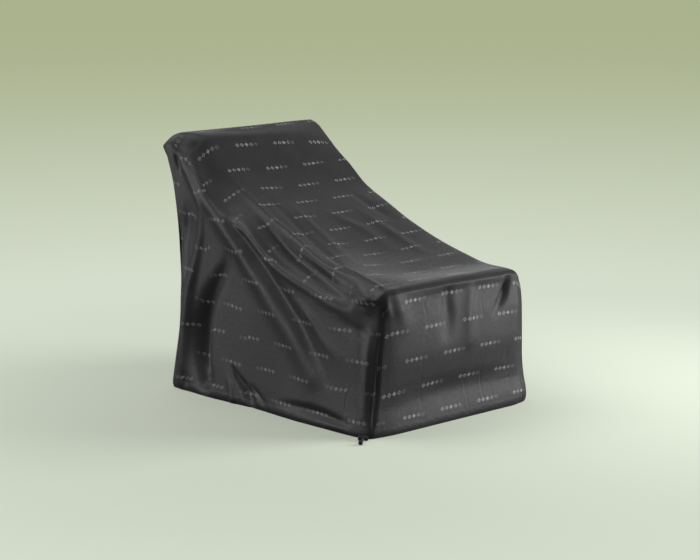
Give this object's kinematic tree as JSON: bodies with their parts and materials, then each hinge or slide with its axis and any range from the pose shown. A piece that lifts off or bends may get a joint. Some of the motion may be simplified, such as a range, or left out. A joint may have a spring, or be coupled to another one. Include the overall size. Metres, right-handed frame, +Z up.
{
  "type": "sling chair cover",
  "caption": "Fitted cover of dark coated cloth for a low sling lounge chair, hanging in soft folds, with a drawcord hem whose cord stop and knot lie at the front corner.",
  "frame": {"origin": "on the floor, under the middle of the cover's box, without the drawcord's free end", "axes": "+Z up, the cover's front towards -Y, so +Y runs from the low front to the high back, +X to the right"},
  "size_m": [0.7261, 0.924, 0.7617],
  "materials": {
    "cloth": "charcoal black coated polyester weave with a soft satin sheen",
    "cord": "black braided cord",
    "stop": "black moulded plastic"
  },
  "bodies": {
    "root": {"centre_panel": "cloth", "left_side_panel": "cloth", "right_side_panel": "cloth", "drawcord_strand_1": "cord", "drawcord_strand_2": "cord", "drawcord_knot": "cord", "cord_stop": "stop"}
  },
  "joints": []
}
